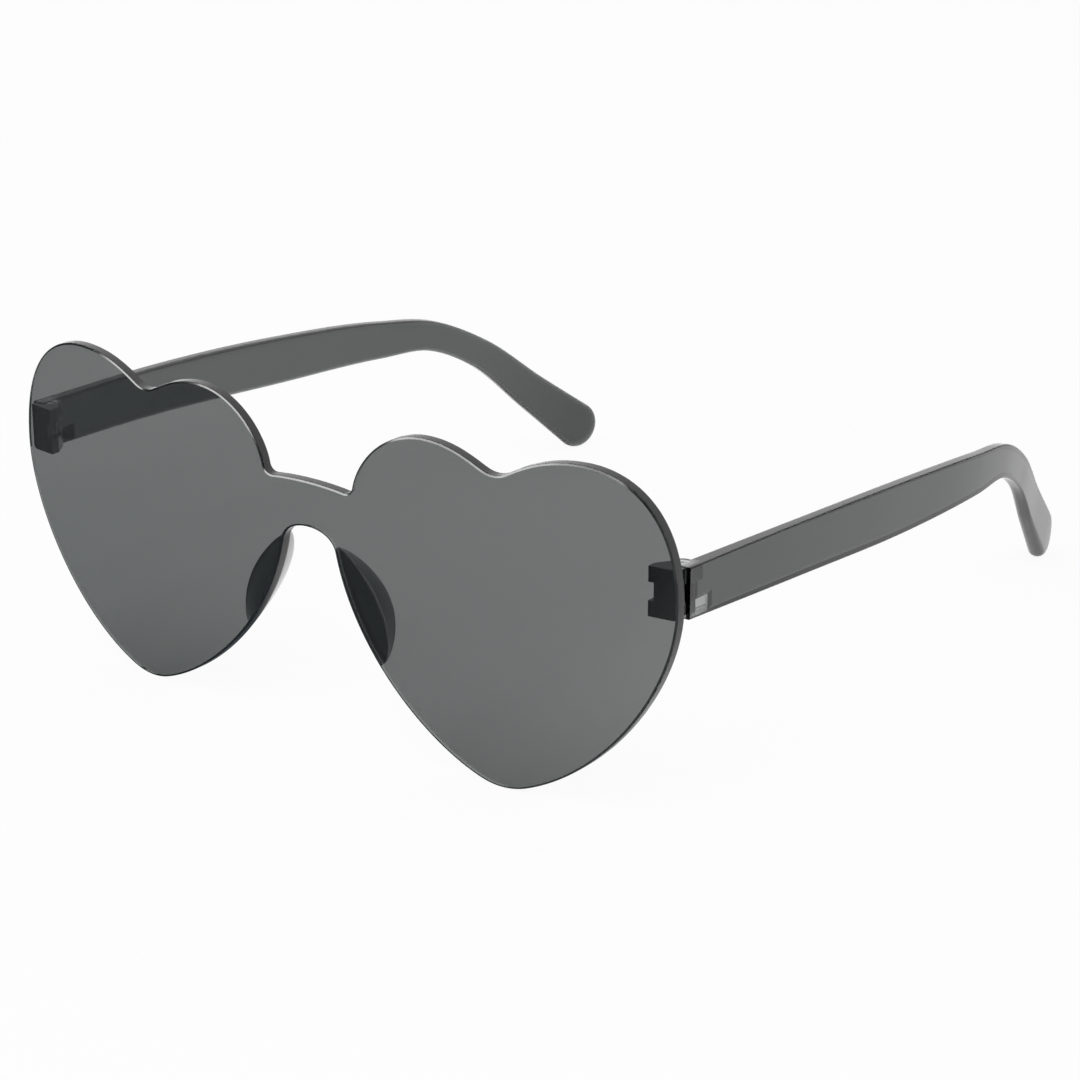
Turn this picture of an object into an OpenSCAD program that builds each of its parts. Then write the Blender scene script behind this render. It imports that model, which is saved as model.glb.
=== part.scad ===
// Heart shaped sunglasses: one tinted sheet cut as two joined hearts, with glued
// nose pads and hinge blocks, and two moulded temples that fold on small screws.
// The lens faces -Y and the wearer's left is +X. The glasses stand on the two
// heart tips and the two temple tips at Z = 0. All lengths are in millimetres.

/* [Lens] */
// Width across the two hearts
lens_w = 148.5; // [140:0.5:156]
// Height from the heart tips to the tops of the outer lobes
lens_h = 60.5; // [56:0.5:66]
// Thickness of the sheet
lens_t = 1.9; // [1.6:0.1:2.6]
// Radius of the sheet's bend round the face, at its front
base_r = 550; // [400:10:900]

/* [Nose pads] */
// Width of the glued foot at its widest
pad_foot_w = 5.7; // [4.5:0.1:6.5]
// Thickness of the glued foot
pad_foot_t = 1.5; // [1:0.1:2]
// Height of the wing's rim over the back of the lens
pad_wing_h = 6; // [4.5:0.1:7]
// Thickness of the wing
pad_wing_t = 1; // [0.8:0.05:1.3]
// Lean of the wing away from the nose, in degrees
pad_lean = 23.5; // [18:0.5:32]
// Step of the pad back from the lens edge
pad_inset = 0.12; // [0.05:0.01:0.3]

/* [Temples] */
// Distance along the head from a temple's front end to the centre of its round tip
temple_run = 149.2; // [135:0.1:160]
// Thickness of a temple
temple_t = 2.8; // [2.4:0.1:3.4]
// Radius of the arm's outer long edges
temple_outer_r = 0.55; // [0.3:0.05:0.9]
// Radius of the arm's inner long edges
temple_inner_r = 1.25; // [0.5:0.05:1.3]
// Height of a temple along its straight arm
temple_h = 9.7; // [8.8:0.1:10.5]
// Height of a temple at its front end
temple_front_h = 8.8; // [8:0.1:9.6]
// Height of the neck, where the temple turns down behind the ear
temple_neck_h = 6.5; // [5:0.1:8]
// Height of the round tip
temple_tip_h = 10.2; // [8:0.1:11.5]
// Thickness of the round tip
tip_t = 3.5; // [2.8:0.1:4]
// Radius of the round tip's edges
tip_edge_r = 1.4; // [0.8:0.05:1.5]
// How far the tips are tucked inwards from the front ends
temple_tuck = 14; // [8:0.5:18]
// Step of the temple's outer face out from the lens edge
temple_overhang = 0.2; // [0:0.1:0.8]

/* [Hinges] */
// Height of one hinge lug
lug_h = 2.75; // [2.2:0.05:3.2]
// Radius of the lugs and of the temple's knuckle
lug_r = 1.85; // [1.75:0.05:2.1]
// Height of the temple's knuckle
knuckle_h = 3; // [2.4:0.1:3.6]
// Play of the knuckle above and below
knuckle_play = 0.1; // [0.05:0.01:0.2]
// Width of the block's seat on the lens, inwards from the pin
block_reach = 3.6; // [3:0.1:5]
// Thickness of the plate between the lens and the knuckle, at the pin
plate_t = 1.3; // [1:0.05:2]
// Depth of the notch in the plate's inner side
notch_d = 1; // [0.6:0.1:1.4]
// Radius of the block's lower outer corner
block_corner_r = 0.9; // [0.4:0.1:1.1]
// Length of the slanted side that runs from a lug to the plate
flank_l = 1.75; // [1.4:0.05:2.2]
// Gap between a turning round and the wall beside it
hinge_gap = 0.15; // [0.1:0.01:0.25]
// Thickness of the temple's outer wall beside the lugs
wall_t = 0.8; // [0.6:0.05:1]
// Length of the pockets that clear the lugs, from the pin to their end
pocket_l = 4.6; // [4:0.1:6]

/* [Screws] */
// Radius of the screw's shank
screw_r = 0.7; // [0.5:0.05:0.8]
// Radius of the screw's head
screw_head_r = 1.25; // [1:0.05:1.4]
// Height of the screw's head
screw_head_h = 0.7; // [0.5:0.05:1]
// Width of the driver slot
screw_slot_w = 0.35; // [0.2:0.05:0.5]
// Depth of the driver slot
screw_slot_d = 0.35; // [0.2:0.05:0.45]
// Radial clearance of the screw in the lugs
lug_fit = 0.02; // [0.01:0.01:0.05]
// Radial clearance of the screw in the knuckle, which turns on it
knuckle_fit = 0.05; // [0.03:0.01:0.08]

/* [Hidden] */

smoke = [0.32, 0.33, 0.33];
smoke_dark = [0.2, 0.21, 0.21];
steel = [0.6, 0.6, 0.62];

// One overrun serves every cut
over = 1;
round_fn = 64;
arc_steps = 12;
sheet_fn = 720;
// Longest side of the cut outline, before it is shared out evenly
outline_step = 2;

// Half of the lens outline, from the bridge's top round the heart to the nose arch,
// as curves of four points each. Across is a share of half the width, and up is a
// share of the height.
heart_shares = [
    [[0, .775], [.05, .775], [.085, .771], [.11, .767]],
    [[.11, .767], [.121, .766], [.131, .772], [.135, .785]],
    [[.135, .785], [.149, .875], [.231, .984], [.344, .984]],
    [[.344, .984], [.418, .984], [.467, .949], [.503, .929]],
    [[.503, .929], [.521, .919], [.543, .918], [.563, .93]],
    [[.563, .93], [.613, .964], [.671, 1], [.762, 1]],
    [[.762, 1], [.892, 1], [1, .89], [1, .645]],
    [[1, .645], [1, .411], [.831, .12], [.625, .019]],
    [[.625, .019], [.586, -.001], [.541, -.006], [.497, .012]],
    [[.497, .012], [.337, .078], [.131, .297], [.081, .579]],
    [[.081, .579], [.074, .615], [.042, .636], [0, .636]]
];

function on_curve(q, t) =
    pow(1 - t, 3) * q[0] + 3 * pow(1 - t, 2) * t * q[1]
    + 3 * (1 - t) * pow(t, 2) * q[2] + pow(t, 3) * q[3];
function sized(q) = [for (p = q) [p[0] * lens_w / 2, p[1] * lens_h]];
function span(q) = norm(q[1] - q[0]) + norm(q[2] - q[1]) + norm(q[3] - q[2]);
function walked(q, n) = [for (i = [0 : n - 1]) on_curve(q, i / n)];
function flat_list(lists) = [for (l = lists) for (p = l) p];

half_raw = flat_list([for (s = heart_shares)
    let (q = sized(s)) walked(q, ceil(span(q) / outline_step) + 2)]);
// The arch's top point closes the half, and the tips are brought down to Z = 0
half_closed = concat(half_raw, [sized(heart_shares[len(heart_shares) - 1])[3]]);
tip_low = min([for (p = half_closed) p[1]]);
half_outline = [for (p = half_closed) [p[0], p[1] - tip_low]];
half_n = len(half_outline);
heart_outline = concat(half_outline,
    [for (i = [half_n - 2 : -1 : 1]) [-half_outline[i][0], half_outline[i][1]]]);

// Where the back of the lens lies behind its foremost line
function back_y(x) = base_r - sqrt(pow(base_r - lens_t, 2) - pow(x, 2));

// Hinge, with the pin upright behind the lens near its outer edge
hinge_z_share = .676;
hinge_z = hinge_z_share * lens_h;
temple_out_x = lens_w / 2 + temple_overhang;
temple_x = temple_out_x - temple_t / 2;
wall_in_x = temple_out_x - wall_t;
pin_x = wall_in_x - hinge_gap - lug_r;
plate_y = back_y(pin_x) + plate_t;
pin_y = plate_y + hinge_gap + lug_r;
slot_h = knuckle_h + 2 * knuckle_play;
block_h = slot_h + 2 * lug_h;
block_z = hinge_z - block_h / 2;
block_in_x = pin_x - block_reach;
block_out_x = pin_x + lug_r;
screw_seat = screw_head_h + lug_fit;

// Temple. Its stations are shares of its run, of its tuck and of its fall from the
// hinge to the tip, with the height and thickness of the band and the radii of its
// outer and inner edges at each.
temple_front_set = 0.1;
temple_front_y = pin_y - lug_r + temple_front_set;
temple_fall = hinge_z - temple_tip_h / 2;
run_shares = [0, .213, .447, .646, .74, .827, .92, 1];
tuck_shares = [0, -.08, -.061, .076, .243, .466, .757, 1];
fall_shares = [0, .035, .101, .168, .218, .394, .722, 1];
// How far the band has swelled from its front end to the arm, has thinned from the arm
// to the neck and has grown from the neck to the tip
arm_shares = [0, 1, 1, 1, 1, 1, 1, 1];
neck_shares = [0, 0, 0, .55, 1, 1, 1, 1];
tip_shares = [0, 0, 0, 0, 0, 0, .45, 1];
stations = [for (i = [0 : len(run_shares) - 1])
    [temple_x - temple_tuck * tuck_shares[i],
     temple_front_y + temple_run * run_shares[i],
     hinge_z - temple_fall * fall_shares[i],
     temple_front_h + (temple_h - temple_front_h) * arm_shares[i]
         + (temple_neck_h - temple_h) * neck_shares[i]
         + (temple_tip_h - temple_neck_h) * tip_shares[i],
     temple_t + (tip_t - temple_t) * tip_shares[i],
     temple_outer_r + (tip_edge_r - temple_outer_r) * tip_shares[i],
     temple_outer_r + (temple_inner_r - temple_outer_r) * arm_shares[i]
         + (tip_edge_r - temple_inner_r) * tip_shares[i]]];
// Steps between one station and the next
station_steps = [5, 5, 6, 5, 7, 6, 5];
tip_steps = 10;
edge_steps = 4;

function place_of(s) = [s[0], s[1], s[2]];
function chord(i) = norm(place_of(stations[i + 1]) - place_of(stations[i]));
function rate(i) = (stations[i + 1] - stations[i]) / chord(i);
last = len(stations) - 1;
// Slope of the smooth line through the stations, at one of them
function slope(i) =
    i == 0 ? rate(0)
    : i == last ? rate(last - 1)
    : (rate(i) * chord(i - 1) + rate(i - 1) * chord(i)) / (chord(i) + chord(i - 1));
function along(i, t) =
    stations[i] * (2 * pow(t, 3) - 3 * pow(t, 2) + 1)
    + slope(i) * chord(i) * (pow(t, 3) - 2 * pow(t, 2) + t)
    + stations[i + 1] * (3 * pow(t, 2) - 2 * pow(t, 3))
    + slope(i + 1) * chord(i) * (pow(t, 3) - pow(t, 2));
function heading(i, t) =
    stations[i] * (6 * pow(t, 2) - 6 * t)
    + slope(i) * chord(i) * (3 * pow(t, 2) - 4 * t + 1)
    + stations[i + 1] * (6 * t - 6 * pow(t, 2))
    + slope(i + 1) * chord(i) * (3 * pow(t, 2) - 2 * t);
function unit(v) = v / norm(v);

// One ring round the band, clockwise from the front. Its turn is 90 along the arm and
// runs down to 0 round the tip.
function quarter() = [for (k = [0 : edge_steps]) 90 * k / edge_steps];
function ring(s, dir, turn) =
    let (
        fore = unit(place_of(dir)),
        side = unit([fore[1], -fore[0], 0]),
        up = cross(side, fore),
        q = quarter(),
        n = len(q)
    )
    [for (c = [0 : 3]) for (k = [0 : n - 1])
        let (
            a = c % 2 == 0 ? q[k] : q[n - 1 - k],
            inner = c == 0 || c == 3,
            r = inner ? s[6] : s[5],
            wide = (inner ? -1 : 1) * (s[4] / 2 - r * (1 - cos(a))),
            far = s[3] / 2 - r * (1 - sin(a)),
            high = c < 2 ? 1 : -1
        )
        place_of(s) + side * wide + (up * high * sin(turn) + fore * cos(turn)) * far];

arm_rings = [for (i = [0 : last - 1]) for (k = [0 : station_steps[i] - 1])
    let (t = k / station_steps[i])
    ring(along(i, t), i + k == 0 ? [0, 1, 0] : heading(i, t), 90)];
tip_rings = [for (k = [0 : tip_steps - 1])
    ring(stations[last], heading(last - 1, 1), 90 - 90 * k / tip_steps)];
band_rings = concat(arm_rings, tip_rings);
ring_n = 4 * (edge_steps + 1);

// Sides between rings, and an end closed by strips from its upper to its lower half
function side_faces(m, n) = [for (i = [0 : m - 2]) for (k = [0 : n - 1])
    let (a = i * n + k, b = i * n + (k + 1) % n)
    for (f = [[a, a + n, b + n], [a, b + n, b]]) f];
function end_faces(base, n, flip) = [for (k = [0 : n / 2 - 2])
    let (a = base + k, b = base + k + 1, c = base + n - 2 - k, d = base + n - 1 - k)
    for (f = [[a, b, c], [a, c, d]]) flip ? [f[2], f[1], f[0]] : f];

depth = max([for (r = band_rings) for (p = r) p[1]]);

// Nose pad. It swells from nothing at its ends to its full section midway.
pad_top_share = .592;
pad_low_share = .27;
pad_top_z = pad_top_share * lens_h;
pad_low_z = pad_low_share * lens_h;
pad_steps = 16;
// How pointed the ends of the leaf shape are, and the part of the leaf left off there
pad_point_share = .7;
pad_end_share = .012;
nose_steps = 40;
// The outline's last two curves run beside the nose and round the nose arch
nose_points = [for (k = [2, 1])
    for (p = walked(sized(heart_shares[len(heart_shares) - k]), nose_steps))
    [p[1] - tip_low, p[0]]];
function edge_x(z) = lookup(z, nose_points);
// Section of the pad at full size. Across are shares of the foot's width, of the wing's
// lean and of its thickness. Up are shares of the foot's thickness and of the wing's height.
pad_rim_x = pad_wing_h * tan(pad_lean);
pad_across_shares = [
    [0, 0, 0], [0, 0, 0],
    [0, .3, 0], [0, .66, 0], [0, 1, 0],
    [0, 1, .45], [0, 1, .95],
    [0, .74, 1], [0, .48, 1], [.5, .24, .5],
    [.9, 0, 0], [1, 0, 0], [1, 0, 0], [.67, 0, 0], [.33, 0, 0]
];
pad_up_shares = [
    [0, 0], [.2, 0],
    [0, .36], [0, .7], [0, .97],
    [0, 1], [0, .94],
    [0, .7], [0, .46], [1.12, 0],
    [.8, 0], [.3, 0], [0, 0], [0, 0], [0, 0]
];
pad_n = len(pad_across_shares);
pad_section = [for (k = [0 : pad_n - 1])
    [pad_across_shares[k] * [pad_foot_w, pad_rim_x, pad_wing_t],
     pad_up_shares[k] * [pad_foot_t, pad_wing_h]]];
pad_rings = [for (i = [0 : pad_steps])
    let (
        u = pad_end_share + (1 - 2 * pad_end_share) * i / pad_steps,
        z = pad_top_z + (pad_low_z - pad_top_z) * u,
        swell = pow(sin(180 * u), pad_point_share),
        x0 = edge_x(z) + pad_inset
    )
    [for (p = pad_section)
        let (x = x0 + p[0] * swell)
        [x, back_y(x) + p[1] * swell, z]]];

// Points of an arc of the given radius, from one angle to another
function arc(middle, r, from, to) = [for (k = [0 : arc_steps])
    let (a = from + (to - from) * k / arc_steps) middle + r * [cos(a), sin(a)]];

// Stands a piece in the middle of the glasses' depth
module placed() translate([0, -depth / 2, 0]) children();

// Everything behind the sheet's back face, so that what is glued on seats on it. It is
// turned so that one of the round's own points lies at the pin.
module behind_lens(low, high) {
    back_r = base_r - lens_t;
    translate([0, base_r, low]) rotate(asin(pin_x / back_r))
        cylinder(r = back_r, h = high - low, $fn = sheet_fn);
}

module lens_front() {
    color(smoke) placed() intersection() {
        translate([0, base_r, -over]) difference() {
            cylinder(r = base_r, h = lens_h + 2 * over, $fn = sheet_fn);
            translate([0, 0, -over])
                cylinder(r = base_r - lens_t, h = lens_h + 4 * over, $fn = sheet_fn);
        }
        translate([0, back_y(lens_w / 2) + over, 0]) rotate([90, 0, 0])
            linear_extrude(back_y(lens_w / 2) + 2 * over) polygon(heart_outline);
    }
}

// Loft through the pad's rings. The foot's front points lie on the back of the lens.
module nose_pad_left() {
    color(smoke_dark) placed() polyhedron(
        points = flat_list(pad_rings),
        faces = concat(
            side_faces(len(pad_rings), pad_n),
            [[for (k = [0 : pad_n - 1]) k]],
            [[for (k = [pad_n - 1 : -1 : 0]) pad_steps * pad_n + k]]
        ),
        convexity = 4
    );
}

module nose_pad_right() mirror([1, 0, 0]) nose_pad_left();

// Plan of the block: the plate on the lens, and the round lug with its slanted side
flank_turn = 145;
module block_plan() {
    pin = [pin_x, pin_y];
    polygon(concat(
        [[block_out_x, 0]],
        arc(pin, lug_r, 0, flank_turn),
        [pin + lug_r * [cos(flank_turn), sin(flank_turn)]
            + flank_l * [cos(flank_turn + 90), sin(flank_turn + 90)],
         [block_in_x, plate_y],
         [block_in_x, 0]]
    ));
}

// Front view of the block, with its lower outer corner rounded
module block_front() {
    corner = [block_out_x - block_corner_r, block_z + block_corner_r];
    polygon(concat(
        [[block_in_x, block_z + block_h], [block_in_x, block_z]],
        arc(corner, block_corner_r, 270, 360),
        [[block_out_x, block_z + block_h]]
    ));
}

module hinge_block_left() {
    slot_z = hinge_z - slot_h / 2;
    block_w = block_out_x - block_in_x;
    back = pin_y + lug_r + over;
    color(smoke_dark) placed() difference() {
        intersection() {
            translate([0, 0, block_z]) linear_extrude(block_h) block_plan();
            translate([0, back, 0]) rotate([90, 0, 0]) linear_extrude(back) block_front();
            behind_lens(block_z - over, block_z + block_h + over);
        }
        // Slot for the knuckle
        translate([block_in_x - over, plate_y, slot_z])
            cube([block_w + 2 * over, back - plate_y, slot_h]);
        // Notch in the plate's inner side
        translate([block_in_x - over, 0, slot_z]) cube([notch_d + over, back, slot_h]);
        // Screw hole and the seat of the screw's head
        translate([pin_x, pin_y, block_z - over])
            cylinder(r = screw_r + lug_fit, h = block_h + 2 * over, $fn = round_fn);
        translate([pin_x, pin_y, block_z + block_h - screw_seat])
            cylinder(r = screw_head_r + lug_fit, h = screw_seat + over, $fn = round_fn);
    }
}

module hinge_block_right() mirror([1, 0, 0]) hinge_block_left();

module hinge_screw_left() {
    head_z = block_z + block_h - screw_head_h;
    color(steel) placed() translate([pin_x, pin_y, 0]) difference() {
        union() {
            translate([0, 0, block_z])
                cylinder(r = screw_r, h = block_h - screw_slot_d, $fn = round_fn);
            translate([0, 0, head_z])
                cylinder(r = screw_head_r, h = screw_head_h, $fn = round_fn);
        }
        translate([-screw_head_r - over, -screw_slot_w / 2, head_z + screw_head_h - screw_slot_d])
            cube([2 * (screw_head_r + over), screw_slot_w, screw_slot_d + over]);
    }
}

module hinge_screw_right() mirror([1, 0, 0]) hinge_screw_left();

// The bowed arm and its round tip, as one swept band
module temple_band() {
    polyhedron(
        points = flat_list(band_rings),
        faces = concat(
            side_faces(len(band_rings), ring_n),
            end_faces(0, ring_n, false),
            end_faces((len(band_rings) - 1) * ring_n, ring_n, true)
        ),
        convexity = 4
    );
}

module temple_left() {
    knuckle_z = hinge_z - knuckle_h / 2;
    pocket_w = wall_in_x - (temple_x - temple_t / 2);
    pocket_y = temple_front_y - over;
    pocket_far = pin_y + pocket_l - pocket_y;
    color(smoke) placed() difference() {
        union() {
            difference() {
                temple_band();
                // Pockets over and under the knuckle, which clear the lugs
                translate([wall_in_x - pocket_w - over, pocket_y, knuckle_z + knuckle_h])
                    cube([pocket_w + over, pocket_far, temple_h]);
                translate([wall_in_x - pocket_w - over, pocket_y, knuckle_z - temple_h])
                    cube([pocket_w + over, pocket_far, temple_h]);
            }
            translate([pin_x, pin_y, knuckle_z])
                cylinder(r = lug_r, h = knuckle_h, $fn = round_fn);
        }
        translate([pin_x, pin_y, knuckle_z - over])
            cylinder(r = screw_r + knuckle_fit, h = knuckle_h + 2 * over, $fn = round_fn);
    }
}

module temple_right() mirror([1, 0, 0]) temple_left();

lens_front();
nose_pad_left();
nose_pad_right();
hinge_block_left();
hinge_block_right();
hinge_screw_left();
hinge_screw_right();
temple_left();
temple_right();
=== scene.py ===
"""Heart shaped sunglasses in smoke tinted plastic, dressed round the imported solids.

The lens, the nose pads and the temples are modelled again here with rounded edges,
because see-through plastic shows every facet. The hinge blocks and the screws are
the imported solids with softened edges.
"""
import math

import bmesh
import bpy
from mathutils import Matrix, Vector


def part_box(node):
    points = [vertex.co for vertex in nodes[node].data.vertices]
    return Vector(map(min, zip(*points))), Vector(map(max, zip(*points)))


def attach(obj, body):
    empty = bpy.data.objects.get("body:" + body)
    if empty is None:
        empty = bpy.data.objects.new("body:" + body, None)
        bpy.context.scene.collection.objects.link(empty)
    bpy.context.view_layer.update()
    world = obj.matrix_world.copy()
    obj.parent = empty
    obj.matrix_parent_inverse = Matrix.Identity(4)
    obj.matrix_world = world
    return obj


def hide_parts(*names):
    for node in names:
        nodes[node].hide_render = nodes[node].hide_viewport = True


MM = 0.001

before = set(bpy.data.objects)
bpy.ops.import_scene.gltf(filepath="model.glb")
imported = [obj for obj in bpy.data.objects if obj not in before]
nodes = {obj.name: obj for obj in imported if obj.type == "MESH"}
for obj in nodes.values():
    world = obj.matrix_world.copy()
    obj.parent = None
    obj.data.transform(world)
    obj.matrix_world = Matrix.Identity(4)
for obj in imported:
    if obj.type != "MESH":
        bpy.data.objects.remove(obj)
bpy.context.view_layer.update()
scene = bpy.context.scene
scene.view_settings.view_transform = "Standard"

# The lens's foremost line lies on the front of the CAD box
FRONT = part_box("lens_front")[0].y / MM

# Sizes in millimetres
LENS_W, LENS_H, LENS_T, BASE_R = 148.5, 60.5, 1.9, 550.0
GLUE = 0.02  # the sheet's back stops this far before the pieces glued on it
# The edge from front to back, each as its offset inward and its depth: a shallow
# chamfer painted near-black for the shade along the rim, a polished round, and the polished
# wall
CHAMFER = [(0.38, 0), (0.06, 0.098)]
ROUND = [(0.025, 0.17), (0.007, 0.25), (0, 0.34)]
BACK_ROUND = 0.05
OUTLINE_STEP = 0.6
STRIP = 2.0  # width of the strips that the bent sheet is made of
SHEET_CRISP = 30  # its edges that turn more than this stay crisp

HEART = [
    [(0, 0.775), (0.05, 0.775), (0.085, 0.771), (0.11, 0.767)],
    [(0.11, 0.767), (0.121, 0.766), (0.131, 0.772), (0.135, 0.785)],
    [(0.135, 0.785), (0.149, 0.875), (0.231, 0.984), (0.344, 0.984)],
    [(0.344, 0.984), (0.418, 0.984), (0.467, 0.949), (0.503, 0.929)],
    [(0.503, 0.929), (0.521, 0.919), (0.543, 0.918), (0.563, 0.93)],
    [(0.563, 0.93), (0.613, 0.964), (0.671, 1), (0.762, 1)],
    [(0.762, 1), (0.892, 1), (1, 0.89), (1, 0.645)],
    [(1, 0.645), (1, 0.411), (0.831, 0.12), (0.625, 0.019)],
    [(0.625, 0.019), (0.586, -0.001), (0.541, -0.006), (0.497, 0.012)],
    [(0.497, 0.012), (0.337, 0.078), (0.131, 0.297), (0.081, 0.579)],
    [(0.081, 0.579), (0.074, 0.615), (0.042, 0.636), (0, 0.636)],
]

PIN_X, PIN_Y, HINGE_Z = 71.65, 9.9034, 40.898
LUG_R, KNUCKLE_H, KNUCKLE_HOLE_R = 1.85, 3.0, 0.75
OVER = 1.0  # how far the drill runs past the knuckle
# The temple's pockets clear the block's lugs. They end this far behind the pin, the
# lower one slanted, and a thin skin closes them above and below
WALL_IN_X, POCKET_W = 73.65, 6.0
UPPER_END, LOWER_END, LOWER_LEAN = 2.1, 3.55, 7.9
ROOF = 4.375

TEMPLE_X, TEMPLE_FRONT_Y, RUN, TUCK = 73.05, 8.1534, 149.2, 14.0
FRONT_H, ARM_H, NECK_H, TIP_H = 9.04, 9.7, 6.5, 10.2
ARM_T, TIP_T = 2.8, 3.5
OUTER_R, INNER_R, TIP_R = 0.35, 1.25, 1.65
FALL = HINGE_Z - TIP_H / 2
RUN_SHARES = (0, 0.213, 0.447, 0.646, 0.74, 0.827, 0.92, 1)
TUCK_SHARES = (0, -0.08, -0.061, 0.076, 0.243, 0.466, 0.757, 1)
FALL_SHARES = (0, 0.035, 0.101, 0.168, 0.218, 0.394, 0.722, 1)
ARM_SHARES = (0, 1, 1, 1, 1, 1, 1, 1)
NECK_SHARES = (0, 0, 0, 0.55, 1, 1, 1, 1)
TIP_SHARES = (0, 0, 0, 0, 0, 0, 0.45, 1)
STATION_STEPS = 12
TIP_STEPS = 20
EDGE_STEPS = 7
SHADE_LINES = (12, 13)  # facets of the upper outer rounding painted near-black as shade lines
SHADE_RINGS = 66  # the straight part of the temple has them

PAD_TOP, PAD_LOW = 0.592 * LENS_H, 0.27 * LENS_H
PAD_STEPS, EDGE_POINTS, FOOT_STEPS = 44, 60, 8
PAD_INSET = 0.03  # from the sheet's edge
PAD_POINT = 0.7  # lower makes the pad's ends blunter
PAD_END = 0.004  # share left off at each end, where the pad would have no width
FOOT_W, FOOT_T, WING_H, WING_T = 5.7, 1.5, 5.8, 1.1
WING_LEAN = 23.5
WING_X = WING_H * math.tan(math.radians(WING_LEAN))

SOFT_TEMPLE, SOFT_PAD, SOFT_BLOCK, SOFT_SCREW = 0.12, 0.06, 0.1, 0.05


def metres(p):
    """A point in the lens's own millimetres as a point of the frame."""
    return Vector((p[0] * MM, (p[1] + FRONT) * MM, p[2] * MM))


def new_object(name, bm):
    """An object of the built mesh, shaded smooth."""
    mesh = bpy.data.meshes.new(name)
    bmesh.ops.recalc_face_normals(bm, faces=bm.faces[:])
    bm.to_mesh(mesh)
    bm.free()
    for f in mesh.polygons:
        f.use_smooth = True
    ob = bpy.data.objects.new(name, mesh)
    scene.collection.objects.link(ob)
    return ob


def even_normals(ob):
    """Keeps broad faces flat in the shading, and lets only the roundings bend it."""
    m = ob.modifiers.new("even", "WEIGHTED_NORMAL")
    m.mode = "FACE_AREA"
    m.weight = 100
    m.keep_sharp = True


def soften(ob, width, steps=2, angle=34):
    """Bevels the edges that turn more than the angle."""
    m = ob.modifiers.new("soften", "BEVEL")
    m.width = width * MM
    m.segments = steps
    m.limit_method = "ANGLE"
    m.angle_limit = math.radians(angle)
    m.use_clamp_overlap = True


def sharpen(ob, angle=32):
    """Keeps the shading of flat faces apart at crisp edges."""
    bm = bmesh.new()
    bm.from_mesh(ob.data)
    for e in bm.edges:
        e.smooth = len(e.link_faces) == 2 and e.calc_face_angle() < math.radians(angle)
    bm.to_mesh(ob.data)
    bm.free()


def settle(ob):
    """Applies the modifiers that are on the object so far."""
    dg = bpy.context.evaluated_depsgraph_get()
    mesh = bpy.data.meshes.new_from_object(ob.evaluated_get(dg))
    ob.modifiers.clear()
    old = ob.data
    ob.data = mesh
    bpy.data.meshes.remove(old)


def cut(ob, tool, operation="DIFFERENCE"):
    """Cuts the tool out of the object, or joins it on, and removes the tool."""
    m = ob.modifiers.new("cut", "BOOLEAN")
    m.operation = operation
    m.solver = "EXACT"
    m.object = tool
    bpy.context.view_layer.update()
    settle(ob)
    bpy.data.objects.remove(tool)


def mirrored(ob, name):
    """The same piece for the other side."""
    bm = bmesh.new()
    bm.from_mesh(ob.data)
    for v in bm.verts:
        v.co.x = -v.co.x
    bmesh.ops.reverse_faces(bm, faces=bm.faces[:])
    return new_object(name, bm)


# The sheet
def on_curve(q, t):
    """A point of the outline's curve with four control points."""
    a, b, c, d = (1 - t) ** 3, 3 * (1 - t) ** 2 * t, 3 * (1 - t) * t * t, t ** 3
    return tuple(a * q[0][i] + b * q[1][i] + c * q[2][i] + d * q[3][i] for i in (0, 1))


def heart_half():
    """Half of the outline, and the height by which the tips are brought down."""
    points = []
    for curve in HEART:
        q = [(x * LENS_W / 2, z * LENS_H) for x, z in curve]
        length = sum(math.dist(q[i], q[i + 1]) for i in range(3))
        n = math.ceil(length / OUTLINE_STEP) + 2
        points += [on_curve(q, i / n) for i in range(n)]
    points.append((0.0, HEART[-1][3][1] * LENS_H))
    low = min(z for _, z in points)
    return [(x, z - low) for x, z in points], low


HALF, TIP_LOW = heart_half()


def front_y(x):
    """How far the bent sheet's front lies behind its foremost line at this width."""
    return BASE_R - math.sqrt(BASE_R ** 2 - x * x)


def back_y(x):
    """The same for the sheet's back."""
    return BASE_R - math.sqrt((BASE_R - LENS_T) ** 2 - x * x)


def inward_ways(outline):
    """The way into the shape, square to the outline, at each of its points."""
    n = len(outline)
    inward = []
    for i in range(n):
        (xa, za), (xb, zb) = outline[i - 1], outline[(i + 1) % n]
        dx, dz = xb - xa, zb - za
        size = math.hypot(dx, dz)
        inward.append((dz / size, -dx / size))
    area = sum(outline[i - 1][0] * outline[i][1] - outline[i][0] * outline[i - 1][1]
               for i in range(n))
    return [(-a, -b) for a, b in inward] if area > 0 else inward


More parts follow.
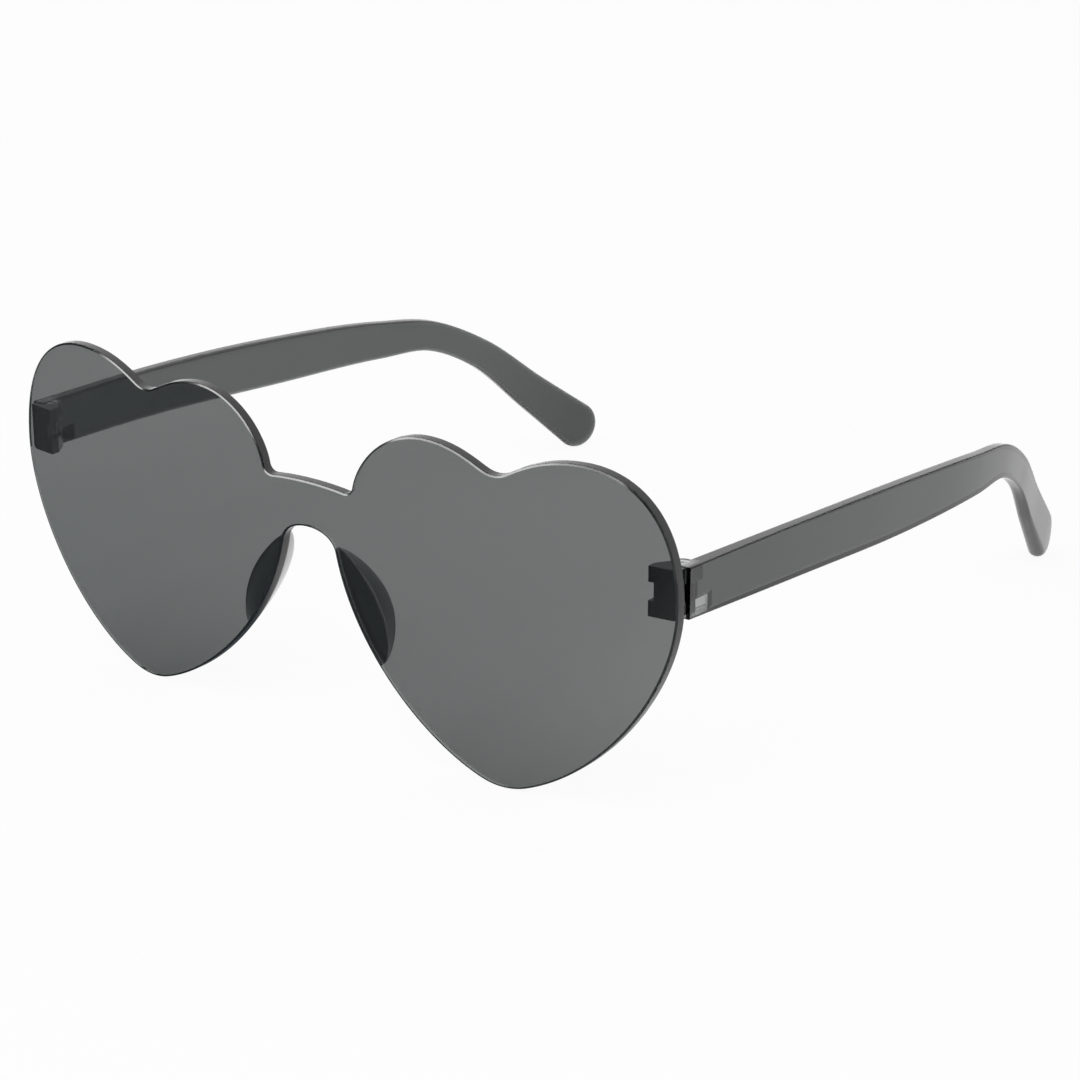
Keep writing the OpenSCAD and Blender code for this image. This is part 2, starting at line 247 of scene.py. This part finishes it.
def sheet():
    """The bent lens, built flat from rings round its outline, cut into strips and bent."""
    outline = HALF + [(-x, z) for x, z in HALF[-2:0:-1]]
    inward = inward_ways(outline)
    n = len(outline)
    thick = LENS_T - GLUE
    profile = CHAMFER + ROUND + [(0, thick - BACK_ROUND), (BACK_ROUND, thick)]
    bm = bmesh.new()
    rings = []
    for off, d in profile:
        rings.append([bm.verts.new((x + off * u, d, z + off * w))
                      for (x, z), (u, w) in zip(outline, inward)])
    for j, (a, b) in enumerate(zip(rings, rings[1:])):
        for i in range(n):
            f = bm.faces.new((a[i - 1], a[i], b[i], b[i - 1]))
            # The chamfer's faces take the second material, painted near-black as shade
            f.material_index = 1 if j == 0 else 0
    bm.faces.new(rings[0])
    bm.faces.new(list(reversed(rings[-1])))
    x = -LENS_W / 2 + STRIP / 2
    while x < LENS_W / 2:
        bmesh.ops.bisect_plane(bm, geom=bm.verts[:] + bm.edges[:] + bm.faces[:],
                               dist=1e-6, plane_co=(x, 0, 0), plane_no=(1, 0, 0))
        x += STRIP
    for e in bm.edges:
        e.smooth = (len({f.material_index for f in e.link_faces}) == 1
                    and e.calc_face_angle() < math.radians(SHEET_CRISP))
    for v in bm.verts:
        x, d, z = v.co
        y = front_y(x) + d * (back_y(x) - front_y(x)) / LENS_T
        v.co = metres((x, y, z))
    return new_object("heart_sheet", bm)


# The temples
def temple_stations():
    """Place, height, thickness, and the outer and inner edges' radii at each station."""
    return [Vector((TEMPLE_X - TUCK * t, TEMPLE_FRONT_Y + RUN * r, HINGE_Z - FALL * f,
                    FRONT_H + (ARM_H - FRONT_H) * a + (NECK_H - ARM_H) * n
                    + (TIP_H - NECK_H) * p,
                    ARM_T + (TIP_T - ARM_T) * p,
                    OUTER_R + (TIP_R - OUTER_R) * p,
                    OUTER_R + (INNER_R - OUTER_R) * a + (TIP_R - INNER_R) * p))
            for r, t, f, a, n, p in zip(RUN_SHARES, TUCK_SHARES, FALL_SHARES,
                                        ARM_SHARES, NECK_SHARES, TIP_SHARES)]


def spot(s):
    """The place alone, from a station's values."""
    return Vector(s[:3])


def temple_line():
    """Places and headings along the temple, on the smooth line through its stations."""
    s = temple_stations()
    last = len(s) - 1
    chord = [(spot(s[i + 1]) - spot(s[i])).length for i in range(last)]
    rate = [(s[i + 1] - s[i]) / chord[i] for i in range(last)]
    slope = [rate[0]]
    for i in range(1, last):
        slope.append((rate[i] * chord[i - 1] + rate[i - 1] * chord[i])
                     / (chord[i] + chord[i - 1]))
    slope.append(rate[-1])
    line = []
    for i in range(last):
        for k in range(STATION_STEPS + (1 if i == last - 1 else 0)):
            t = k / STATION_STEPS
            place = (s[i] * (2 * t ** 3 - 3 * t ** 2 + 1)
                     + slope[i] * chord[i] * (t ** 3 - 2 * t ** 2 + t)
                     + s[i + 1] * (3 * t ** 2 - 2 * t ** 3)
                     + slope[i + 1] * chord[i] * (t ** 3 - t ** 2))
            way = (s[i] * (6 * t ** 2 - 6 * t)
                   + slope[i] * chord[i] * (3 * t ** 2 - 4 * t + 1)
                   + s[i + 1] * (6 * t - 6 * t ** 2)
                   + slope[i + 1] * chord[i] * (3 * t ** 2 - 2 * t))
            line.append((place, spot(way)))
    line[0] = (line[0][0], Vector((0, 1, 0)))
    return line


def band_ring(place, way, turn):
    """The band's section at a place on its line. Below 90 the turn lays it over for the
    round tip."""
    fore = way.normalized()
    side = Vector((fore.y, -fore.x, 0)).normalized()
    up = side.cross(fore)
    height, thick, outer_r, inner_r = place[3:]
    a = math.radians(turn)
    points = []
    for corner in range(4):
        for k in range(EDGE_STEPS + 1):
            q = 90 * k / EDGE_STEPS
            q = math.radians(q if corner % 2 == 0 else 90 - q)
            inner = corner in (0, 3)
            r = inner_r if inner else outer_r
            wide = (-1 if inner else 1) * (thick / 2 - r * (1 - math.cos(q)))
            far = height / 2 - r * (1 - math.sin(q))
            high = 1 if corner < 2 else -1
            points.append(spot(place) + side * wide
                          + (up * (high * math.sin(a)) + fore * math.cos(a)) * far)
    return points


def block(low, high, lean=0.0):
    """A cutting block between two corners, its far inner edge moved back by lean."""
    bm = bmesh.new()
    bmesh.ops.create_cube(bm, size=1)
    for v in bm.verts:
        slant = lean if v.co.y > 0 and v.co.x < 0 else 0
        p = [low[i] + (v.co[i] + 0.5) * (high[i] - low[i]) for i in range(3)]
        v.co = metres((p[0], p[1] + slant, p[2]))
    return new_object("cutter", bm)


def post(r, low, high, sides=96):
    """An upright round post on the hinge's pin."""
    bm = bmesh.new()
    rings = []
    for z in (low, high):
        rings.append([bm.verts.new(metres((
            PIN_X + r * math.cos(2 * math.pi * k / sides),
            PIN_Y + r * math.sin(2 * math.pi * k / sides), z))) for k in range(sides)])
    for k in range(sides):
        bm.faces.new((rings[0][k - 1], rings[0][k], rings[1][k], rings[1][k - 1]))
    bm.faces.new(rings[0])
    bm.faces.new(rings[1])
    return new_object("cutter", bm)


def temple_band():
    """The left arm's bowed band with its round tip, lofted through its sections."""
    line = temple_line()
    rings = [band_ring(p, w, 90) for p, w in line[:-1]]
    place, way = line[-1]
    rings += [band_ring(place, way, 90 - 90 * k / TIP_STEPS) for k in range(TIP_STEPS)]
    bm = bmesh.new()
    made = [[bm.verts.new(metres(p)) for p in ring] for ring in rings]
    n = len(made[0])
    for j, (a, b) in enumerate(zip(made, made[1:])):
        for i in range(n):
            f = bm.faces.new((a[i - 1], a[i], b[i], b[i - 1]))
            # Painted shade: the listed facets take the near-black line material
            f.material_index = 1 if i in SHADE_LINES and j < SHADE_RINGS else 0
    bm.faces.new(made[0])
    for k in range(n // 2 - 1):
        ring = made[-1]
        bm.faces.new((ring[k], ring[k + 1], ring[n - 2 - k], ring[n - 1 - k]))
    return new_object("temple_arm_left", bm)


def temple():
    """The left arm: the band, with pockets, knuckle and screw hole at its front end."""
    ob = temple_band()
    dress(ob, temple_mat, painted_line_mat)
    soften(ob, SOFT_TEMPLE)
    settle(ob)
    low, high = HINGE_Z - KNUCKLE_H / 2, HINGE_Z + KNUCKLE_H / 2
    inner = WALL_IN_X - POCKET_W
    cut(ob, block((inner, 0, high), (WALL_IN_X, PIN_Y + UPPER_END, HINGE_Z + ROOF)))
    cut(ob, block((inner, 0, HINGE_Z - ROOF), (WALL_IN_X, PIN_Y + LOWER_END, low),
                  lean=LOWER_LEAN))
    cut(ob, post(LUG_R, low, high), "UNION")
    cut(ob, post(KNUCKLE_HOLE_R, low - OVER, high + OVER))
    sharpen(ob)
    return ob


# Nose pads
def edge_x(z):
    """Where the sheet's inner edge lies beside the nose."""
    points = []
    for curve in HEART[-2:]:
        q = [(x * LENS_W / 2, h * LENS_H - TIP_LOW) for x, h in curve]
        points += [on_curve(q, i / EDGE_POINTS) for i in range(EDGE_POINTS)]
    for (xa, za), (xb, zb) in zip(points, points[1:]):
        if za <= z <= zb:
            return xa + (xb - xa) * (z - za) / (zb - za)
    return points[-1][0]


def smooth_line(points, steps):
    """A smooth open line through the points, without the last one."""
    line = []
    for i in range(len(points) - 1):
        p = [Vector(points[max(i - 1, 0)]), Vector(points[i]), Vector(points[i + 1]),
             Vector(points[min(i + 2, len(points) - 1)])]
        for k in range(steps):
            t = k / steps
            line.append(0.5 * (2 * p[1] + (p[2] - p[0]) * t
                               + (2 * p[0] - 5 * p[1] + 4 * p[2] - p[3]) * t * t
                               + (3 * p[1] - p[0] - 3 * p[2] + p[3]) * t ** 3))
    return line


def pad():
    """The left pad: a foot on the sheet's back and a wing that leans to the nose."""
    lean = WING_X
    upper = [(0, 0), (0, 0.3), (0.3 * lean, 0.36 * WING_H), (0.66 * lean, 0.7 * WING_H),
             (lean, 0.97 * WING_H), (lean + 0.45 * WING_T, WING_H),
             (lean + 0.95 * WING_T, 0.94 * WING_H), (0.74 * lean + WING_T, 0.7 * WING_H),
             (0.48 * lean + WING_T, 0.46 * WING_H),
             (0.5 * FOOT_W + 0.24 * lean + 0.5 * WING_T, 1.12 * FOOT_T),
             (0.9 * FOOT_W, 0.8 * FOOT_T), (FOOT_W, 0.3 * FOOT_T), (FOOT_W, 0)]
    line = smooth_line(upper, 4)
    line += [Vector((FOOT_W * (1 - k / FOOT_STEPS), 0)) for k in range(FOOT_STEPS)]
    bm = bmesh.new()
    rings = []
    for i in range(PAD_STEPS + 1):
        u = PAD_END + (1 - 2 * PAD_END) * (0.5 - 0.5 * math.cos(math.pi * i / PAD_STEPS))
        z = PAD_TOP + (PAD_LOW - PAD_TOP) * u
        swell = math.sin(math.pi * u) ** PAD_POINT
        x0 = edge_x(z) + PAD_INSET
        ring = []
        for p in line:
            x = x0 + p.x * swell
            ring.append(bm.verts.new(metres((x, back_y(x) + p.y * swell, z))))
        rings.append(ring)
    n = len(line)
    for a, b in zip(rings, rings[1:]):
        for i in range(n):
            bm.faces.new((a[i - 1], a[i], b[i], b[i - 1]))
    bm.faces.new(rings[0])
    bm.faces.new(rings[-1])
    return new_object("pad_left", bm)


# Materials
PLASTIC_IOR = 1.58
SMOKE_TINT = (0.058, 0.0885, 0.0785)


def noise(nt, scale, detail):
    """Noise that stays with the piece."""
    where = nt.nodes.new("ShaderNodeTexCoord")
    made = nt.nodes.new("ShaderNodeTexNoise")
    made.inputs["Scale"].default_value = scale
    made.inputs["Detail"].default_value = detail
    nt.links.new(where.outputs["Object"], made.inputs["Vector"])
    return made.outputs["Fac"]


def vary(nt, fac, socket, low, high, start=0.0, end=1.0):
    """Takes the socket from low to high as the noise goes from start to end."""
    spread = nt.nodes.new("ShaderNodeMapRange")
    spread.inputs["From Min"].default_value = start
    spread.inputs["From Max"].default_value = end
    spread.inputs["To Min"].default_value = low
    spread.inputs["To Max"].default_value = high
    nt.links.new(fac, spread.inputs["Value"])
    nt.links.new(spread.outputs["Result"], socket)


def mottle(nt, fac, socket, low, high, start, end):
    """The same for a colour."""
    tone = nt.nodes.new("ShaderNodeValToRGB")
    for stop, place, colour in zip(tone.color_ramp.elements, (start, end), (low, high)):
        stop.position = place
        stop.color = (*colour, 1)
    nt.links.new(fac, tone.inputs["Fac"])
    nt.links.new(tone.outputs["Color"], socket)


def rough_up(nt, fac, socket, strength, distance):
    """Raises and lowers the surface with the noise."""
    bump = nt.nodes.new("ShaderNodeBump")
    bump.inputs["Strength"].default_value = strength
    bump.inputs["Distance"].default_value = distance
    nt.links.new(fac, bump.inputs["Height"])
    nt.links.new(bump.outputs["Normal"], socket)


def smoke(name, density, through, ripple=0.02, clear=1.0):
    """Clear smoke plastic: the colour is in its depth, its skin is polished."""
    mat = bpy.data.materials.new(name)
    mat.use_nodes = True
    nt = mat.node_tree
    nt.nodes.clear()
    out = nt.nodes.new("ShaderNodeOutputMaterial")
    p = nt.nodes.new("ShaderNodeBsdfPrincipled")
    p.inputs["Base Color"].default_value = (1, 1, 1, 1)
    p.inputs["Transmission Weight"].default_value = clear
    p.inputs["IOR"].default_value = PLASTIC_IOR
    vary(nt, noise(nt, 45, 4), p.inputs["Roughness"], 0.012, 0.04, 0.35, 0.7)
    rough_up(nt, noise(nt, 70, 1), p.inputs["Normal"], ripple, MM)
    # Lamps reach what lies behind the plastic
    pass_on = nt.nodes.new("ShaderNodeBsdfTransparent")
    pass_on.inputs["Color"].default_value = (through, through, through, 1)
    path = nt.nodes.new("ShaderNodeLightPath")
    mix = nt.nodes.new("ShaderNodeMixShader")
    nt.links.new(path.outputs["Is Shadow Ray"], mix.inputs[0])
    nt.links.new(p.outputs[0], mix.inputs[1])
    nt.links.new(pass_on.outputs[0], mix.inputs[2])
    nt.links.new(mix.outputs[0], out.inputs["Surface"])
    depth = nt.nodes.new("ShaderNodeVolumeAbsorption")
    depth.inputs["Color"].default_value = (*SMOKE_TINT, 1)
    depth.inputs["Density"].default_value = density
    nt.links.new(depth.outputs[0], out.inputs["Volume"])
    return mat


def new_surface(name):
    """A new material, its node tree and its shader."""
    mat = bpy.data.materials.new(name)
    mat.use_nodes = True
    return mat, mat.node_tree, mat.node_tree.nodes["Principled BSDF"]


def deep_smoke(name):
    """The same plastic where it is too thick to see through."""
    mat, nt, p = new_surface(name)
    p.inputs["IOR"].default_value = PLASTIC_IOR
    flow = noise(nt, 160, 3)
    mottle(nt, flow, p.inputs["Base Color"], (0.009, 0.012, 0.014), (0.014, 0.018, 0.02),
           0.35, 0.7)
    vary(nt, flow, p.inputs["Roughness"], 0.08, 0.2)
    rough_up(nt, flow, p.inputs["Normal"], 0.05, 0.5 * MM)
    return mat


def steel(name):
    """Plated steel with a fine grain."""
    mat, nt, p = new_surface(name)
    p.inputs["Metallic"].default_value = 1
    grain = noise(nt, 900, 5)
    mottle(nt, grain, p.inputs["Base Color"], (0.42, 0.42, 0.43), (0.66, 0.66, 0.67),
           0.35, 0.65)
    vary(nt, grain, p.inputs["Roughness"], 0.22, 0.42)
    return mat


def painted_shade_line(name, roughness, specular):
    """Painted shade: narrow opaque near-black lines that stand in for the dark refraction
    lines along clear plastic; their gloss still reflects the lamps.
    """
    mat, nt, p = new_surface(name)
    p.inputs["IOR"].default_value = PLASTIC_IOR
    p.inputs["Specular IOR Level"].default_value = specular
    grain = noise(nt, 600, 4)
    mottle(nt, grain, p.inputs["Base Color"], (0.005, 0.006, 0.0065), (0.016, 0.018, 0.019),
           0.35, 0.7)
    vary(nt, grain, p.inputs["Roughness"], *roughness)
    return mat


def dress(ob, *mats):
    """Gives a piece its materials, in the order that its faces count them in."""
    if not ob.data.materials:
        for mat in mats:
            ob.data.materials.append(mat)


sheet_mat = smoke("smoke_sheet", density=800.0, through=0.4)
# Painted shade: the lens chamfer is near-black, standing in for the dark refraction lines
# at the rim
shaded_edge_mat = painted_shade_line("painted_shade_edge", roughness=(0.1, 0.22), specular=0.5)
pad_mat = smoke("smoke_pad", density=1850.0, through=0.3, ripple=0.01, clear=0.72)
block_mat = deep_smoke("smoke_block")
temple_mat = smoke("smoke_temple", density=870.0, through=0.35, ripple=0.012)
# Painted shade: near-black lines along the temple's upper outer rounding, standing in for
# its dark refraction lines
painted_line_mat = painted_shade_line("painted_shade_strip", roughness=(0.4, 0.6), specular=0.3)
steel_mat = steel("screw_steel")

# The pieces
lens = sheet()
dress(lens, sheet_mat, shaded_edge_mat)
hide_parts("lens_front")
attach(lens, "front")

arm_left = temple()
arm_right = mirrored(arm_left, "temple_arm_right")
for arm, side in ((arm_left, "left"), (arm_right, "right")):
    even_normals(arm)
    dress(arm, temple_mat, painted_line_mat)
    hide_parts("temple_" + side)
    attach(arm, "temple_" + side)

pad_left = pad()
pad_right = mirrored(pad_left, "pad_right")
for piece, side in ((pad_left, "left"), (pad_right, "right")):
    soften(piece, SOFT_PAD, angle=50)
    even_normals(piece)
    dress(piece, pad_mat)
    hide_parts("nose_pad_" + side)
    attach(piece, "front")

for side in ("left", "right"):
    for name, mat, width in (("hinge_block_", block_mat, SOFT_BLOCK),
                             ("hinge_screw_", steel_mat, SOFT_SCREW)):
        ob = nodes[name + side]
        for slot in ob.material_slots:
            slot.material = mat
        weld = ob.modifiers.new("weld", "WELD")
        weld.merge_threshold = 1e-6
        soften(ob, width)
        even_normals(ob)

# Camera and room
AZIMUTH, ELEVATION = 0.6501271, 0.3509695
EYE = metres((327.01, -363.82, 214.58))
cam = bpy.data.cameras.new("camera")
cam.sensor_width = 36
cam.lens = 100
cam.clip_start = 0.01
camera = bpy.data.objects.new("camera", cam)
scene.collection.objects.link(camera)
back = Vector((math.sin(AZIMUTH) * math.cos(ELEVATION),
               -math.cos(AZIMUTH) * math.cos(ELEVATION), math.sin(ELEVATION)))
camera.location = EYE
camera.rotation_euler = back.to_track_quat("Z", "Y").to_euler()
scene.camera = camera

FLOOR_HALF = 6.0
bm = bmesh.new()
bmesh.ops.create_grid(bm, x_segments=1, y_segments=1, size=FLOOR_HALF)
floor = new_object("floor", bm)

# Reflections see a dark cloth on the floor before the glasses. It ends behind, on the
# left and on the right, each end given as where it starts to lighten, where it is done
# and how much of the white it reaches
BACK_END = (FRONT * MM + 0.015, FRONT * MM + 0.03, 1.0)
LEFT_END, RIGHT_END = (-0.125, -0.165, 0.12), (0.02, 0.06, 0.4)
CLOTH = (0.13, 0.155, 0.17, 1)
# How far the floor is plain white to the eye and through the plastic. The rest of its
# tone comes from the lamps and keeps the shadows
EYE_SHARE, THROUGH_SHARE = 0.93, 0.3


def math_node(nt, operation, a, b):
    """The result of two values, of which either may be a number."""
    node = nt.nodes.new("ShaderNodeMath")
    node.operation = operation
    for i, v in enumerate((a, b)):
        if isinstance(v, float):
            node.inputs[i].default_value = v
        else:
            nt.links.new(v, node.inputs[i])
    return node.outputs[0]


def floor_material():
    """Matt white that keeps faint shadows, and white or dark cloth in reflections."""
    mat = bpy.data.materials.new("floor")
    mat.use_nodes = True
    nt = mat.node_tree
    nt.nodes.clear()
    out = nt.nodes.new("ShaderNodeOutputMaterial")
    matt = nt.nodes.new("ShaderNodeBsdfDiffuse")
    matt.inputs["Color"].default_value = (0.93, 0.93, 0.93, 1)
    path = nt.nodes.new("ShaderNodeLightPath")
    where = nt.nodes.new("ShaderNodeTexCoord")
    apart = nt.nodes.new("ShaderNodeSeparateXYZ")
    nt.links.new(where.outputs["Object"], apart.inputs[0])
    lit = None
    for axis, (start, end, most) in (("Y", BACK_END), ("X", LEFT_END), ("X", RIGHT_END)):
        step = nt.nodes.new("ShaderNodeMapRange")
        step.interpolation_type = "SMOOTHSTEP"
        step.inputs["From Min"].default_value = start
        step.inputs["From Max"].default_value = end
        step.inputs["To Max"].default_value = most
        nt.links.new(apart.outputs[axis], step.inputs["Value"])
        lit = (step.outputs[0] if lit is None
               else math_node(nt, "MAXIMUM", lit, step.outputs[0]))
    # A ray through the plastic counts as glossy too
    gloss = math_node(nt, "SUBTRACT", path.outputs["Is Glossy Ray"],
                      path.outputs["Is Transmission Ray"])
    gloss = math_node(nt, "MAXIMUM", gloss, 0.0)
    white = nt.nodes.new("ShaderNodeEmission")
    cloth = nt.nodes.new("ShaderNodeValToRGB")
    cloth.color_ramp.elements[0].color = CLOTH
    cloth.color_ramp.elements[1].color = (1, 1, 1, 1)
    straight = math_node(nt, "MAXIMUM", path.outputs["Is Camera Ray"],
                         path.outputs["Is Transmission Ray"])
    nt.links.new(math_node(nt, "MAXIMUM", straight, lit), cloth.inputs["Fac"])
    nt.links.new(cloth.outputs["Color"], white.inputs["Color"])
    seen = math_node(nt, "MULTIPLY", path.outputs["Is Camera Ray"], EYE_SHARE)
    through = math_node(nt, "MULTIPLY", path.outputs["Is Transmission Ray"], THROUGH_SHARE)
    share = math_node(nt, "MAXIMUM", math_node(nt, "MAXIMUM", seen, through), gloss)
    mix = nt.nodes.new("ShaderNodeMixShader")
    nt.links.new(share, mix.inputs[0])
    nt.links.new(matt.outputs[0], mix.inputs[1])
    nt.links.new(white.outputs[0], mix.inputs[2])
    nt.links.new(mix.outputs[0], out.inputs["Surface"])
    return mat


floor.data.materials.append(floor_material())

# The room is white to the eye and through plastic. Reflections see it white behind the
# glasses and dark before them
DARK_ROOM_Y, WHITE_ROOM_Y, ROOM_FILL = -0.15, 0.25, 0.6
world = bpy.data.worlds.new("room")
scene.world = world
world.use_nodes = True
nt = world.node_tree
nt.nodes.clear()
out = nt.nodes.new("ShaderNodeOutputWorld")
room = nt.nodes.new("ShaderNodeBackground")
path = nt.nodes.new("ShaderNodeLightPath")
way = nt.nodes.new("ShaderNodeTexCoord")
apart = nt.nodes.new("ShaderNodeSeparateXYZ")
nt.links.new(way.outputs["Generated"], apart.inputs[0])
behind = nt.nodes.new("ShaderNodeMapRange")
behind.interpolation_type = "SMOOTHSTEP"
behind.inputs["From Min"].default_value = DARK_ROOM_Y
behind.inputs["From Max"].default_value = WHITE_ROOM_Y
nt.links.new(apart.outputs["Y"], behind.inputs["Value"])
straight = math_node(nt, "MAXIMUM", path.outputs["Is Camera Ray"],
                     path.outputs["Is Transmission Ray"])
glossy = math_node(nt, "MULTIPLY", path.outputs["Is Glossy Ray"], behind.outputs["Result"])
diffuse = math_node(nt, "MULTIPLY", path.outputs["Is Diffuse Ray"], ROOM_FILL)
nt.links.new(math_node(nt, "MAXIMUM", math_node(nt, "MAXIMUM", straight, glossy), diffuse),
             room.inputs["Strength"])
room.inputs["Color"].default_value = (1, 1, 1, 1)
nt.links.new(room.outputs[0], out.inputs["Surface"])


def lamp(name, place, aim, size, watts):
    """A flat lamp turned to the point it aims at."""
    light = bpy.data.lights.new(name, "AREA")
    light.shape = "RECTANGLE"
    light.size, light.size_y = size
    light.energy = watts
    ob = bpy.data.objects.new(name, light)
    scene.collection.objects.link(ob)
    ob.location = place
    ob.rotation_euler = (Vector(place) - Vector(aim)).to_track_quat("Z", "Y").to_euler()


lamp("key_lamp", (0.05, -0.55, 1.05), (0, 0, 0), (0.8, 0.8), 3.0)
lamp("strip_lamp", (-0.5, -1.13, 0.17), (0.02, -0.08, 0.04), (0.95, 0.24), 7.5)
